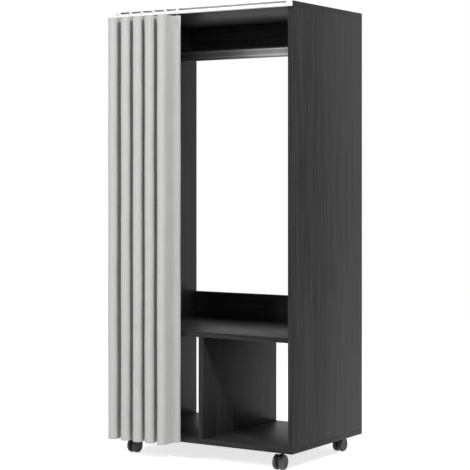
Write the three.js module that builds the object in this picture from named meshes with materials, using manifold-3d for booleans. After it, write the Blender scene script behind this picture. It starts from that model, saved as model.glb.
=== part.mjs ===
// Curtain wardrobe on twin-wheel casters, in millimetres.
// The front faces -Y, up is +Z, and the origin is on the floor under the middle of the whole object.
import * as THREE from 'three';
import { mergeVertices } from 'three/addons/utils/BufferGeometryUtils.js';
import Module from 'manifold-3d';

const wasm = await Module();
wasm.setup();

// Carcass
const width = 750;
const depth = 500;
const board = 18;
const boxHeight = 1538;
const lowerClear = 358;
const middleRailHeight = 100;
const upperRailHeight = 100;

// Clothes rail, a flat-oval tube in an end socket on each side panel
const tubeHeight = 40;
const tubeDepth = 20;
const tubeWall = 1.5;
const tubeDrop = 129;
const socketPlate = 3;
const socketRim = 6;
const collarWall = 2.5;
const collarLength = 14;

// Curtain track, a C-shaped profile that opens to the front, with a closed chamber below its channel
const trackDepth = 20;
const trackHeight = 20;
const trackWall = 1.6;
const trackCorner = 1.2;
const slotHeight = 6.6;
const slotDrop = 3.2;
const channelHeight = 10.4;
const capLength = 10;
const capCorner = 3;
const plugLength = 4;
const screwHeadRadius = 3.5;
const screwHeadHeight = 2;
const screwRadius = 1.6;
const screwLength = 15;
const screwInset = 60;

// Gliders, each with a foot in the channel, a neck through the slot, a front plate and a hook
const runningGliders = 6;
const gliderPitch = 51;
const firstGap = 12.3;
const footLength = 12;
const footDepth = 5;
const neckLength = 5;
const plateWidth = 7;
const plateThick = 2.2;
const plateTop = 2.4;
const hookWidth = 4;
const hookThick = 1.6;
const hookLength = 16;

// Curtain, one fold between each two gliders
const clothThick = 2;
const clothGap = 8;
const hemHeight = 4;
const foldReach = 95;
const firstFoldReach = 46;
const ridgeRadius = 18;
const valleyRadius = 11;
const firstRidgeRadius = 6;
const firstValleyRadius = 4;
const leadValleyRadius = 4;
const ridgeLags = [0, 10, 5, 2.5, 1.5, 7];
const leadHem = 17.7;
const endHem = 6;
const valleySteps = 4;
const ridgeSteps = 8;

// Casters
const casterHeight = 62;
const casterSideInset = 66;
const casterFrontInset = 46;
const casterBackInset = 31;
const wheelRadius = 25;
const wheelWidth = 12.5;
const wheelSpacing = 13;
const treadWidth = 7.5;
const faceRadius = 20.5;
const dishRadius = 16.5;
const dishDepth = 1.2;
const dishSlope = 1;
const hubCapRadius = 8;
const rimChamfer = 1;
const webGap = 0.4;
const webRadius = 13;
const trail = 16;
const axleRadius = 3;
const axleLength = 30;
const hoodGap = 1;
const hoodWall = 1.8;
const hoodReach = 16;
const hoodTilt = THREE.MathUtils.degToRad(20);
const hoodEdge = 8;
const stemPinRadius = 4;
const stemPinLength = 22;
const collarRadius = 5.5;
const collarHeight = 9;
const threadLength = 13;
const insertWall = 1.7;
const insertHeight = 13;

const clearance = 0.3;
const roundSteps = 20;
const hoodSteps = 32;
const wheelSteps = 24;
const screwSteps = 16;

// Places worked out from the sizes above
const overallDepth = depth + foldReach;
const frontY = foldReach - overallDepth / 2;
const backY = frontY + depth;
const innerWidth = width - 2 * board;
const bottomTop = casterHeight + board;
const shelfUnder = bottomTop + lowerClear;
const shelfTop = shelfUnder + board;
const overallHeight = casterHeight + boxHeight;
const topUnder = overallHeight - board;
const middleY = frontY + depth / 2;
const backRailY = backY - board / 2;
const tubeZ = topUnder - tubeDrop;
const trackFront = frontY - trackDepth;
const slotTop = overallHeight - slotDrop;
const slotBottom = slotTop - slotHeight;
const channelTop = overallHeight - trackWall;
const channelBottom = channelTop - channelHeight;
const channelMiddle = (channelTop + channelBottom) / 2;
const trackBottom = overallHeight - trackHeight;
const clothTop = trackBottom - clothGap;
const clothBottom = casterHeight + hemHeight;
const plateBack = trackFront - clearance;
const clothY = plateBack - hookThick - clearance - clothThick / 2;

const xAxis = new THREE.Vector3(1, 0, 0);
const yAxis = new THREE.Vector3(0, 1, 0);
const zAxis = new THREE.Vector3(0, 0, 1);
const outlineToX = new THREE.Matrix4().makeBasis(yAxis, zAxis, xAxis);
const outlineToFront = new THREE.Matrix4().makeBasis(xAxis, zAxis, yAxis.clone().negate());
const turnedOnZ = outlineToFront;
const alongY = new THREE.Matrix4();
const standing = new THREE.Matrix4();
const turnedOnX = new THREE.Matrix4().makeBasis(yAxis, xAxis, zAxis.clone().negate());

const wardrobe = new THREE.Group();

function add(name, geometry, finish, place, parent = wardrobe) {
  const mesh = new THREE.Mesh(geometry, new THREE.MeshStandardMaterial(finish));
  mesh.name = name;
  mesh.position.set(...place);
  parent.add(mesh);
}

const darkBoard = { color: 0x34312f, roughness: 0.6, metalness: 0 };
const steel = { color: 0x9c9c9e, roughness: 0.35, metalness: 1 };
const whitePlastic = { color: 0xf2f2f0, roughness: 0.4, metalness: 0 };
const cloth = { color: 0xbdbcba, roughness: 0.95, metalness: 0 };
const blackPlastic = { color: 0x1c1c1d, roughness: 0.45, metalness: 0 };
const greyTyre = { color: 0x3c3c3e, roughness: 0.7, metalness: 0 };

// Solids that are joined or cut
function solid(geometry) {
  const bare = geometry.clone();
  bare.deleteAttribute('normal');
  bare.deleteAttribute('uv');
  const merged = mergeVertices(bare);
  const vertProperties = new Float32Array(merged.attributes.position.array);
  const triVerts = new Uint32Array(merged.index.array);
  return new wasm.Manifold(new wasm.Mesh({ numProp: 3, vertProperties, triVerts }));
}

function geometryOf(manifold) {
  const mesh = manifold.getMesh();
  const geometry = new THREE.BufferGeometry();
  geometry.setAttribute('position', new THREE.BufferAttribute(new Float32Array(mesh.vertProperties), 3));
  geometry.setIndex(new THREE.BufferAttribute(new Uint32Array(mesh.triVerts), 1));
  return geometry;
}

function box(x, y, z, place = [0, 0, 0]) {
  return new THREE.BoxGeometry(x, y, z).translate(...place);
}

function rod(radius, length, place, matrix = turnedOnZ, steps = roundSteps) {
  return new THREE.CylinderGeometry(radius, radius, length, steps).applyMatrix4(matrix).translate(...place);
}

function extrude(outline, length, matrix, curveSegments = 6) {
  const geometry = new THREE.ExtrudeGeometry(outline, { depth: length, bevelEnabled: false, curveSegments });
  return geometry.applyMatrix4(matrix);
}

// A stadium with its long side upright
function stadium(across, upright) {
  const radius = across / 2;
  const straight = upright / 2 - radius;
  const outline = new THREE.Shape();
  outline.absarc(0, straight, radius, 0, Math.PI, false);
  outline.absarc(0, -straight, radius, Math.PI, 2 * Math.PI, false);
  return outline;
}

function roundedRect(left, bottom, right, top, radius) {
  const outline = new THREE.Shape();
  outline.absarc(right - radius, top - radius, radius, 0, Math.PI / 2, false);
  outline.absarc(left + radius, top - radius, radius, Math.PI / 2, Math.PI, false);
  outline.absarc(left + radius, bottom + radius, radius, Math.PI, 1.5 * Math.PI, false);
  outline.absarc(right - radius, bottom + radius, radius, 1.5 * Math.PI, 2 * Math.PI, false);
  return outline;
}

// Where the four casters and the three track screws sit
const casterX = width / 2 - casterSideInset;
const casterFrontY = frontY + casterFrontInset;
const casterBackY = backY - casterBackInset;
const casterPlaces = [
  { corner: 'front_left', x: -casterX, y: casterFrontY },
  { corner: 'front_right', x: casterX, y: casterFrontY },
  { corner: 'rear_left', x: -casterX, y: casterBackY },
  { corner: 'rear_right', x: casterX, y: casterBackY },
];
const screwPlaces = [
  { side: 'left', x: screwInset - width / 2 },
  { side: 'centre', x: 0 },
  { side: 'right', x: width / 2 - screwInset },
];

// Panels. The bottom panel is bored from below for the caster inserts,
// and the top panel is bored from the front for the track screws.
const threadRadius = stemPinRadius;
const insertBore = threadRadius + clearance;
const insertRadius = insertBore + insertWall;

// A board in strips, so that the free face between the boards that stand on it is a face of its own.
// The strips lie side by side along X, and the edges are where they meet.
function boardInStrips(edges, length) {
  const strips = edges.slice(1).map((edge, i) => {
    const middle = (edges[i] + edge) / 2;
    return solid(box(edge - edges[i], length, board, [middle, 0, 0]));
  });
  return strips.reduce((whole, strip) => whole.add(strip));
}

function bottomPanel() {
  const edges = [-width / 2, -innerWidth / 2, -board / 2, board / 2, innerWidth / 2, width / 2];
  let panel = boardInStrips(edges, depth);
  const holeDepth = insertHeight + clearance;
  for (const { x, y } of casterPlaces) {
    const length = 2 * holeDepth;
    panel = panel.subtract(solid(rod(insertRadius + clearance, length, [x, y - middleY, -board / 2])));
  }
  return geometryOf(panel);
}

function middleShelf() {
  const edges = [-depth / 2, depth / 2 - board, depth / 2];
  return geometryOf(boardInStrips(edges, innerWidth)).rotateZ(Math.PI / 2);
}

function topPanel() {
  let panel = solid(box(width, depth, board));
  const height = channelMiddle - (topUnder + board / 2);
  for (const { x } of screwPlaces) {
    const length = 2 * (screwLength + clearance);
    panel = panel.subtract(solid(rod(screwRadius + clearance, length, [x, -depth / 2, height], alongY)));
  }
  return geometryOf(panel);
}

const sideHeight = topUnder - bottomTop;
const sideX = (width - board) / 2;
const sideZ = (topUnder + bottomTop) / 2;
add('bottom_panel', bottomPanel(), darkBoard, [0, middleY, casterHeight + board / 2]);
add('top_panel', topPanel(), darkBoard, [0, middleY, topUnder + board / 2]);
add('left_side_panel', box(board, depth, sideHeight), darkBoard, [-sideX, middleY, sideZ]);
add('right_side_panel', box(board, depth, sideHeight), darkBoard, [sideX, middleY, sideZ]);
add('middle_shelf', middleShelf(), darkBoard, [0, middleY, shelfUnder + board / 2]);
add('centre_divider', box(board, depth, lowerClear), darkBoard, [0, middleY, bottomTop + lowerClear / 2]);
add('middle_back_rail', box(innerWidth, board, middleRailHeight), darkBoard,
  [0, backRailY, shelfTop + middleRailHeight / 2]);
add('upper_back_rail', box(innerWidth, board, upperRailHeight), darkBoard,
  [0, backRailY, topUnder - upperRailHeight / 2]);

// Clothes rail
function clothesTube(length) {
  const outline = stadium(tubeDepth, tubeHeight);
  outline.holes.push(stadium(tubeDepth - 2 * tubeWall, tubeHeight - 2 * tubeWall));
  return extrude(outline, length, outlineToX, 8);
}

// The socket's flange lies on the side panel, and its collar goes round the tube's end.
function tubeSocket(towardsMiddle) {
  const bore = [tubeDepth + 2 * clearance, tubeHeight + 2 * clearance];
  const collar = stadium(bore[0] + 2 * collarWall, bore[1] + 2 * collarWall);
  collar.holes.push(stadium(...bore));
  const rim = 2 * (collarWall + socketRim);
  const flange = solid(extrude(stadium(bore[0] + rim, bore[1] + rim), socketPlate, outlineToX, 8));
  const ring = solid(extrude(collar, collarLength, outlineToX, 8).translate(socketPlate / 2, 0, 0));
  const socket = geometryOf(flange.add(ring));
  return towardsMiddle > 0 ? socket : socket.rotateZ(Math.PI);
}

const tubeLength = innerWidth - 2 * (socketPlate + clearance);
add('clothes_rail', clothesTube(tubeLength), steel, [-tubeLength / 2, middleY, tubeZ]);
add('clothes_rail_socket_left', tubeSocket(1), steel, [-innerWidth / 2, middleY, tubeZ]);
add('clothes_rail_socket_right', tubeSocket(-1), steel, [innerWidth / 2, middleY, tubeZ]);

// Curtain track. Its outline is drawn in Y and Z, with its back on the top panel's front edge.
function trackOutline() {
  const inner = trackFront + trackWall;
  const back = frontY - trackWall;
  const cornerY = trackFront + trackCorner;
  const outline = new THREE.Shape();
  outline.moveTo(frontY, trackBottom);
  outline.lineTo(frontY, overallHeight);
  outline.absarc(cornerY, overallHeight - trackCorner, trackCorner, Math.PI / 2, Math.PI, false);
  outline.lineTo(trackFront, slotTop);
  outline.lineTo(inner, slotTop);
  outline.lineTo(inner, channelTop);
  outline.lineTo(back, channelTop);
  outline.lineTo(back, channelBottom);
  outline.lineTo(inner, channelBottom);
  outline.lineTo(inner, slotBottom);
  outline.lineTo(trackFront, slotBottom);
  outline.absarc(cornerY, trackBottom + trackCorner, trackCorner, Math.PI, 1.5 * Math.PI, false);
  const chamber = new THREE.Path();
  chamber.moveTo(inner, trackBottom + trackWall);
  chamber.lineTo(back, trackBottom + trackWall);
  chamber.lineTo(back, channelBottom - trackWall);
  chamber.lineTo(inner, channelBottom - trackWall);
  outline.holes.push(chamber);
  return outline;
}

const trackLength = width - 2 * capLength;

function track() {
  let profile = solid(extrude(trackOutline(), trackLength, outlineToX, 4).translate(-trackLength / 2, 0, 0));
  for (const { x } of screwPlaces) {
    const hole = rod(screwRadius + clearance, 3 * trackWall, [x, frontY, channelMiddle], alongY);
    profile = profile.subtract(solid(hole));
  }
  return geometryOf(profile);
}

// An end cap closes the profile at one end, with a plug that goes into its channel.
function endCap(side) {
  const outline = roundedRect(trackFront, trackBottom, frontY, overallHeight, capCorner);
  const shell = extrude(outline, capLength, outlineToX, 4).translate((side - 1) * capLength / 2, 0, 0);
  const plugDepth = trackDepth - 2 * (trackWall + clearance);
  const plugHeight = channelHeight - 2 * clearance;
  const plug = box(2 * plugLength, plugDepth, plugHeight, [0, frontY - trackDepth / 2, channelMiddle]);
  return geometryOf(solid(shell).add(solid(plug)));
}

// A pan-head screw, with its head on the back wall inside the channel
function trackScrew() {
  const profile = [new THREE.Vector2(0, -screwLength), new THREE.Vector2(screwRadius, -screwLength)];
  profile.push(new THREE.Vector2(screwRadius, trackWall));
  profile.push(new THREE.Vector2(screwHeadRadius, trackWall));
  profile.push(new THREE.Vector2(screwHeadRadius, trackWall + screwHeadHeight / 2));
  profile.push(new THREE.Vector2(screwHeadRadius / 2, trackWall + screwHeadHeight));
  profile.push(new THREE.Vector2(0, trackWall + screwHeadHeight));
  return new THREE.LatheGeometry(profile, screwSteps).rotateX(Math.PI);
}

add('curtain_track', track(), whitePlastic, [0, 0, 0]);
add('track_end_cap_left', endCap(-1), whitePlastic, [-trackLength / 2, 0, 0]);
add('track_end_cap_right', endCap(1), whitePlastic, [trackLength / 2, 0, 0]);
for (const { side, x } of screwPlaces) {
  add(`track_screw_${side}`, trackScrew(), steel, [x, frontY, channelMiddle]);
}

// Gliders. The first is fixed against the left end cap's plug,
// and the others stand one pitch apart where the curtain is gathered.
const gliderX = [capLength + plugLength + clearance + footLength / 2 - width / 2];
for (let i = 0; i < runningGliders; i += 1) {
  gliderX.push(gliderX[0] + firstGap + i * gliderPitch);
}

// A glider lies with its middle on the front face of the track, at the height of the channel's middle.
function glider() {
  const footFront = trackWall + clearance;
  const footOutline = stadium(footDepth, footLength);
  const footHeight = channelHeight - 2 * clearance;
  const foot = extrude(footOutline, footHeight, new THREE.Matrix4().makeRotationZ(Math.PI / 2), 4);
  foot.translate(0, footFront + footDepth / 2, -footHeight / 2);
  const neckHeight = slotHeight - 2 * clearance;
  const neckDepth = footFront + footDepth / 2 + clearance + plateThick / 2;
  const neckY = footFront + footDepth / 2 - neckDepth / 2;
  const slotMiddle = (slotTop + slotBottom) / 2 - channelMiddle;
  const neck = box(neckLength, neckDepth, neckHeight, [0, neckY, slotMiddle]);
  const top = overallHeight - plateTop - channelMiddle;
  const bottom = clothTop + clearance - channelMiddle;
  const corner = plateWidth / 3;
  const plateOutline = roundedRect(-plateWidth / 2, bottom, plateWidth / 2, top, corner);
  const plate = extrude(plateOutline, plateThick, outlineToFront, 3).translate(0, -clearance, 0);
  const hookOutline = new THREE.Shape();
  const hookBottom = clothTop - hookLength - channelMiddle;
  hookOutline.moveTo(hookWidth / 2, bottom + corner);
  hookOutline.lineTo(-hookWidth / 2, bottom + corner);
  hookOutline.absarc(0, hookBottom + hookWidth / 2, hookWidth / 2, Math.PI, 2 * Math.PI, false);
  const hook = extrude(hookOutline, hookThick, outlineToFront, 4).translate(0, -clearance, 0);
  return geometryOf([neck, plate, hook].reduce((whole, piece) => whole.add(solid(piece)), solid(foot)));
}

gliderX.forEach((x, i) => {
  add(`curtain_glider_${i}`, glider(), whitePlastic, [x, trackFront, channelMiddle]);
});

// Curtain. A fold leaves one glider's hook in a half valley and rises to a round ridge,
// and a second half valley brings it back to the next hook. The flanks touch these rounds.
// Y is the distance in front of the hooks' plane, and each point has the way its front faces.
function flankLean(across, reach, rounds) {
  const spare = reach - rounds;
  return Math.acos(rounds / Math.hypot(across, spare)) - Math.atan2(spare, across);
}

function foldSection({ length, reach, ridgeAt, ridge, valley, lastValley }) {
  const near = flankLean(ridgeAt, reach, ridge + valley);
  const far = flankLean(length - ridgeAt, reach, ridge + lastValley);
  const points = [];
  const arc = (x, y, radius, from, to, steps) => {
    for (let i = 0; i <= steps; i += 1) {
      const angle = from + (to - from) * i / steps;
      const facing = new THREE.Vector2(Math.sin(angle), Math.cos(angle));
      points.push({ x: x + radius * facing.x, y: y + radius * facing.y, facing });
    }
  };
  arc(0, valley, -valley, 0, near - Math.PI / 2, valleySteps);
  arc(ridgeAt, reach - ridge, ridge, near - Math.PI / 2, Math.PI / 2 - far, ridgeSteps);
  arc(length, lastValley, -lastValley, Math.PI / 2 - far, 0, valleySteps);
  return points;
}

// A closed sheet of one thickness that hangs straight down, with this section
function sheet(start, section) {
  const outline = new THREE.Shape();
  const faces = [clothThick / 2, -clothThick / 2].map((offset) => section.map(({ x, y, facing }) => (
    new THREE.Vector2(start + x + offset * facing.x, clothY - y - offset * facing.y)
  )));
  outline.setFromPoints([...faces[0], ...faces[1].reverse()]);
  return geometryOf(solid(extrude(outline, clothTop - clothBottom, standing)));
}

for (let i = 1; i <= runningGliders; i += 1) {
  const first = i === 1;
  const last = i === runningGliders;
  const start = gliderX[i - 1] + (first ? -endHem : clearance / 2);
  const length = gliderX[i] + (last ? leadHem : -clearance / 2) - start;
  const reach = (first ? firstFoldReach : foldReach) - clothThick / 2 - (frontY - clothY);
  const ridgeAt = length / 2 - ridgeLags[i - 1];
  const ridge = first ? firstRidgeRadius : ridgeRadius;
  const valley = first ? firstValleyRadius : valleyRadius;
  const lastValley = last ? leadValleyRadius : valley;
  const section = foldSection({ length, reach, ridgeAt, ridge, valley, lastValley });
  add(`curtain_fold_${i}`, sheet(start, section), cloth, [0, 0, clothBottom]);
}

// Casters. Every piece is drawn about the stem's axis, with the floor at 0.
const axleSide = -trail;
const pinBottom = casterHeight - collarHeight - stemPinLength;
const wheelInner = wheelSpacing / 2;
const wheelOuter = wheelInner + wheelWidth;
const webHalf = wheelInner - webGap;
const boreEnd = axleLength / 2 + clearance;
const axleBore = axleRadius + clearance;

// The shoulder from the tread to the outer face is a quarter of an ellipse, set off by a distance for the hood.
function shoulder(offset, steps, end = wheelOuter) {
  const start = wheelInner + treadWidth;
  const across = wheelOuter - start + offset;
  const down = wheelRadius - faceRadius + offset;
  const points = [];
  for (let i = 0; i <= steps; i += 1) {
    const x = start + (end - start) * Math.sin(Math.PI * i / (2 * steps));
    const fall = Math.sqrt(Math.max(1 - ((x - start) / across) ** 2, 0));
    points.push(new THREE.Vector2(faceRadius + down * fall, x));
  }
  return points;
}

// One wheel, with its flat inner face towards -X and a blind bore for the axle.
// Its outer face is dished round a hub cap.
function wheel(side) {
  const dish = wheelOuter - dishDepth;
  const profile = [new THREE.Vector2(0, boreEnd), new THREE.Vector2(axleBore, boreEnd)];
  profile.push(new THREE.Vector2(axleBore, wheelInner));
  profile.push(new THREE.Vector2(wheelRadius - rimChamfer, wheelInner));
  profile.push(new THREE.Vector2(wheelRadius, wheelInner + rimChamfer));
  profile.push(...shoulder(0, 4));
  profile.push(new THREE.Vector2(dishRadius, wheelOuter));
  profile.push(new THREE.Vector2(dishRadius - dishSlope, dish));
  profile.push(new THREE.Vector2(hubCapRadius, dish));
  profile.push(new THREE.Vector2(hubCapRadius - dishSlope, wheelOuter));
  profile.push(new THREE.Vector2(0, wheelOuter));
  const flat = Math.cos(Math.PI / wheelSteps);
  const facets = profile.map(({ x, y }) => new THREE.Vector2(x / flat, y));
  const geometry = new THREE.LatheGeometry(facets, wheelSteps, Math.PI / wheelSteps).applyMatrix4(turnedOnX);
  return side > 0 ? geometry : geometry.rotateY(Math.PI);
}

// The hood is the upper part of a shell that follows both wheels' treads.
// It is one piece with the web between them and the boss for the stem's pin.
function housing() {
  const outer = shoulder(hoodGap + hoodWall, 3, hoodReach);
  const inner = shoulder(hoodGap, 3, hoodReach);
  const mirrored = ({ x, y }) => new THREE.Vector2(x, -y);
  const profile = [...outer.map(mirrored).reverse(), ...outer];
  profile.push(...[...inner].reverse(), ...inner.map(mirrored));
  profile.push(profile[0].clone());
  const shell = solid(new THREE.LatheGeometry(profile, hoodSteps).applyMatrix4(turnedOnX));
  const size = 4 * wheelRadius;
  const upper = box(size, size, size, [0, 0, hoodEdge + size / 2]).rotateX(-hoodTilt);
  const web = solid(rod(webRadius, 2 * webHalf, [0, 0, 0], turnedOnX));
  const ribTop = wheelRadius + hoodGap;
  const rib = solid(box(2 * webHalf, trail + webRadius, ribTop, [0, (trail - webRadius) / 2, ribTop / 2]));
  const whole = shell.intersect(solid(upper)).add(web).add(rib);
  const bossTop = casterHeight - collarHeight - clearance - wheelRadius;
  const boss = rod(webHalf, bossTop, [0, trail, bossTop / 2]);
  const boreBottom = pinBottom - clearance - wheelRadius;
  const pinBore = rod(stemPinRadius + clearance, casterHeight, [0, trail, boreBottom + casterHeight / 2]);
  const axleHole = rod(axleBore, 3 * webHalf, [0, 0, 0], turnedOnX);
  return geometryOf(whole.add(solid(boss)).subtract(solid(pinBore)).subtract(solid(axleHole)));
}

// The stem has a pin for the housing, a collar under the panel and a thread in the insert.
function stem() {
  const collarBottom = casterHeight - collarHeight;
  const top = casterHeight + threadLength;
  const profile = [new THREE.Vector2(0, pinBottom), new THREE.Vector2(stemPinRadius, pinBottom)];
  profile.push(new THREE.Vector2(stemPinRadius, collarBottom));
  profile.push(new THREE.Vector2(collarRadius, collarBottom));
  profile.push(new THREE.Vector2(collarRadius, casterHeight));
  profile.push(new THREE.Vector2(threadRadius, casterHeight));
  profile.push(new THREE.Vector2(threadRadius, top));
  profile.push(new THREE.Vector2(0, top));
  return new THREE.LatheGeometry(profile, roundSteps).applyMatrix4(turnedOnZ);
}

function insert() {
  const profile = [new THREE.Vector2(insertBore, 0), new THREE.Vector2(insertRadius, 0)];
  profile.push(new THREE.Vector2(insertRadius, insertHeight));
  profile.push(new THREE.Vector2(insertBore, insertHeight));
  profile.push(profile[0].clone());
  return new THREE.LatheGeometry(profile, roundSteps).applyMatrix4(turnedOnZ);
}

for (const { corner, x, y } of casterPlaces) {
  const caster = new THREE.Group();
  caster.position.set(x, y, 0);
  wardrobe.add(caster);
  const axle = rod(axleRadius, axleLength, [0, 0, 0], turnedOnX);
  add(`${corner}_insert`, insert(), steel, [0, 0, casterHeight], caster);
  add(`${corner}_stem`, stem(), steel, [0, 0, 0], caster);
  add(`${corner}_housing`, housing(), blackPlastic, [0, axleSide, wheelRadius], caster);
  add(`${corner}_axle`, axle, steel, [0, axleSide, wheelRadius], caster);
  add(`${corner}_wheel_left`, wheel(-1), greyTyre, [0, axleSide, wheelRadius], caster);
  add(`${corner}_wheel_right`, wheel(1), greyTyre, [0, axleSide, wheelRadius], caster);
}

export default wardrobe;
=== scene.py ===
import math

import bmesh
import bpy
import numpy as np
from mathutils import Matrix, Vector


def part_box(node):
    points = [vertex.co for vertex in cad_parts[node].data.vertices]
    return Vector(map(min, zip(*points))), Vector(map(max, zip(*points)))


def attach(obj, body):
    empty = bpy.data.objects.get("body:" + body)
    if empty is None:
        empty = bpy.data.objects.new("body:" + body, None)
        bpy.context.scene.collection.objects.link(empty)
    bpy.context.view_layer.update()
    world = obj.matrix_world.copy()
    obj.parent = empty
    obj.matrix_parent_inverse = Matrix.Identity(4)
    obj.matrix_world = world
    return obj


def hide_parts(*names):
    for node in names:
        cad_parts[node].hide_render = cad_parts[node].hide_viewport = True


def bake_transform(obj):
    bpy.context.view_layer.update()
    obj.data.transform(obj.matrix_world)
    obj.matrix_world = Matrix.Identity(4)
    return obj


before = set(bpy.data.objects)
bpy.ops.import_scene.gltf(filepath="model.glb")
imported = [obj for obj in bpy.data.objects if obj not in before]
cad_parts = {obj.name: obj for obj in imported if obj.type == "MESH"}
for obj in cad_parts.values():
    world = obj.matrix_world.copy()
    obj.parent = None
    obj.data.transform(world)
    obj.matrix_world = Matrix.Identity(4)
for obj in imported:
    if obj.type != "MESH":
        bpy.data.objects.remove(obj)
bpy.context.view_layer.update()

# The carcass gives the places that the rest is worked out from, in metres.
bottom_low, bottom_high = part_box("bottom_panel")
top_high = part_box("top_panel")[1]
FRONT, RIGHT = bottom_low.y, bottom_high.x
MM = 0.001
WHITE = (1.0, 1.0, 1.0, 1.0)


def linked(name, data):
    """A new object in the scene."""
    thing = bpy.data.objects.new(name, data)
    bpy.context.scene.collection.objects.link(thing)
    return thing


# Camera, at the photograph's own place and angle
PHOTO_SIZE = 470
PHOTO_FOCAL = 1515.7
PHOTO_HORIZON = 177.35
CAMERA_TURN = math.radians(32.81)
CAMERA_FROM_CORNER = Vector((2.6147, -4.4137, 0.9385))
SENSOR = 36.0
VIEW_END = 50.0


def make_camera():
    data = bpy.data.cameras.new("camera")
    data.sensor_width = SENSOR
    data.lens = SENSOR * PHOTO_FOCAL / PHOTO_SIZE
    data.shift_y = (PHOTO_HORIZON - PHOTO_SIZE / 2) / PHOTO_SIZE
    data.clip_end = VIEW_END
    camera = linked("camera", data)
    camera.location = Vector((RIGHT, FRONT, bottom_low.z)) + CAMERA_FROM_CORNER
    camera.rotation_euler = (math.pi / 2, 0.0, CAMERA_TURN)
    bpy.context.scene.camera = camera


# Node trees, written as expressions on their sockets
class Value:
    """An output socket of a node tree, with the arithmetic of Math nodes."""

    def __init__(self, tree, socket):
        self.tree = tree
        self.socket = socket

    def math(self, operation, *others):
        inputs = dict(enumerate((self, *others)))
        return self.tree.add("ShaderNodeMath", {"operation": operation}, inputs)

    def __add__(self, other):
        return self.math("ADD", other)

    def __mul__(self, other):
        return self.math("MULTIPLY", other)

    def __sub__(self, other):
        return self.math("SUBTRACT", other)

    def __rsub__(self, other):
        return (self * -1.0) + other

    __radd__ = __add__
    __rmul__ = __mul__

    def __getitem__(self, name):
        return Value(self.tree, self.socket.node.outputs[name])


class Tree:
    """A node tree that is built from add() and arithmetic on what it returns."""

    def __init__(self, tree):
        self.nodes = tree.nodes
        self.links = tree.links

    def add(self, kind, settings=None, inputs=None):
        node = self.nodes.new(kind)
        for name, value in (settings or {}).items():
            setattr(node, name, value)
        for name, value in (inputs or {}).items():
            self.feed(node.inputs[name], value)
        return Value(self, next(s for s in node.outputs if s.enabled))

    def feed(self, socket, value):
        if isinstance(value, Value):
            self.links.new(value.socket, socket)
        else:
            socket.default_value = value

    def seen(self):
        """1 for what the camera sees directly, in a reflection or through something clear."""
        path = self.add("ShaderNodeLightPath")
        either = path["Is Camera Ray"].math("MAXIMUM", path["Is Glossy Ray"])
        return either.math("MAXIMUM", path["Is Transmission Ray"])


# The places of a Mix node's two colours among its inputs
COLOUR_A, COLOUR_B = 6, 7


class Finish(Tree):
    """A material with its shader."""

    def __init__(self, name):
        self.material = bpy.data.materials.new(name)
        self.material.use_nodes = True
        super().__init__(self.material.node_tree)
        self.shader = self.nodes["Principled BSDF"]

    def set(self, **inputs):
        for name, value in inputs.items():
            self.feed(self.shader.inputs[name.replace("_", " ").title()], value)

    def scaled(self, vector, scale):
        return self.add("ShaderNodeMapping", {}, {"Vector": vector, "Scale": scale})

    def place(self, scale=(1.0, 1.0, 1.0)):
        return self.scaled(self.add("ShaderNodeTexCoord")["Object"], scale)

    def noise(self, vector, scale, detail, roughness=0.55, distortion=0.0):
        inputs = {"Vector": vector, "Scale": scale, "Detail": detail}
        inputs.update({"Roughness": roughness, "Distortion": distortion})
        return self.add("ShaderNodeTexNoise", {}, inputs)

    def fade(self, value, low, high, start=0.0, end=1.0):
        inputs = {0: value, 1: low, 2: high, 3: start, 4: end}
        return self.add("ShaderNodeMapRange", {"clamp": True}, inputs)

    def mix(self, factor, first, second):
        inputs = {0: factor, COLOUR_A: first, COLOUR_B: second}
        return self.add("ShaderNodeMix", {"data_type": "RGBA"}, inputs)

    def bump(self, height, distance, strength):
        inputs = {"Height": height, "Distance": distance, "Strength": strength}
        self.set(normal=self.add("ShaderNodeBump", {}, inputs))


def grey(value, warmth=0.0):
    return (value * (1 + warmth), value, value * (1 - warmth), 1.0)


def drawn_out(axis, share):
    """The scale of a pattern that is drawn out along one axis."""
    return tuple(share if name == axis else 1.0 for name in "XYZ")


# Finishes. A painted highlight line is full this near to its height, and ends further off.
PAINTED_GLINT = 0.8 * MM
PAINTED_GLINT_END = 2.2 * PAINTED_GLINT


def woodgrain(name, along, painted_light=1.0):
    """Dark foil with open grain that runs along one axis of the object. Its tone is multiplied by
    the last argument, which paints a copy lighter to stand in for light where it stands in shade.
    """
    finish = Finish(name)
    place = finish.place(drawn_out(along, 0.03))
    bands = finish.noise(place, 38.0, 4.0, roughness=0.6, distortion=0.25)
    streaks = finish.noise(place, 150.0, 6.0, roughness=0.72)
    pores = finish.noise(finish.place(drawn_out(along, 0.05)), 900.0, 2.0, roughness=0.5)
    pore_mask = finish.fade(pores, 0.60, 0.68)
    tone = finish.fade(bands * 0.3 + streaks * 0.7, 0.38, 0.62)
    colour = finish.mix(tone, grey(0.014 * painted_light), grey(0.042 * painted_light))
    colour = finish.mix(pore_mask * 0.55, colour, grey(0.007 * painted_light))
    finish.set(base_color=colour, roughness=finish.fade(streaks, 0.3, 0.7, 0.38, 0.50))
    finish.shader.inputs["Specular IOR Level"].default_value = 0.09
    finish.bump(streaks * 0.4 - pore_mask * 0.8, 0.00012, 0.6)
    return finish.material


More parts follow.
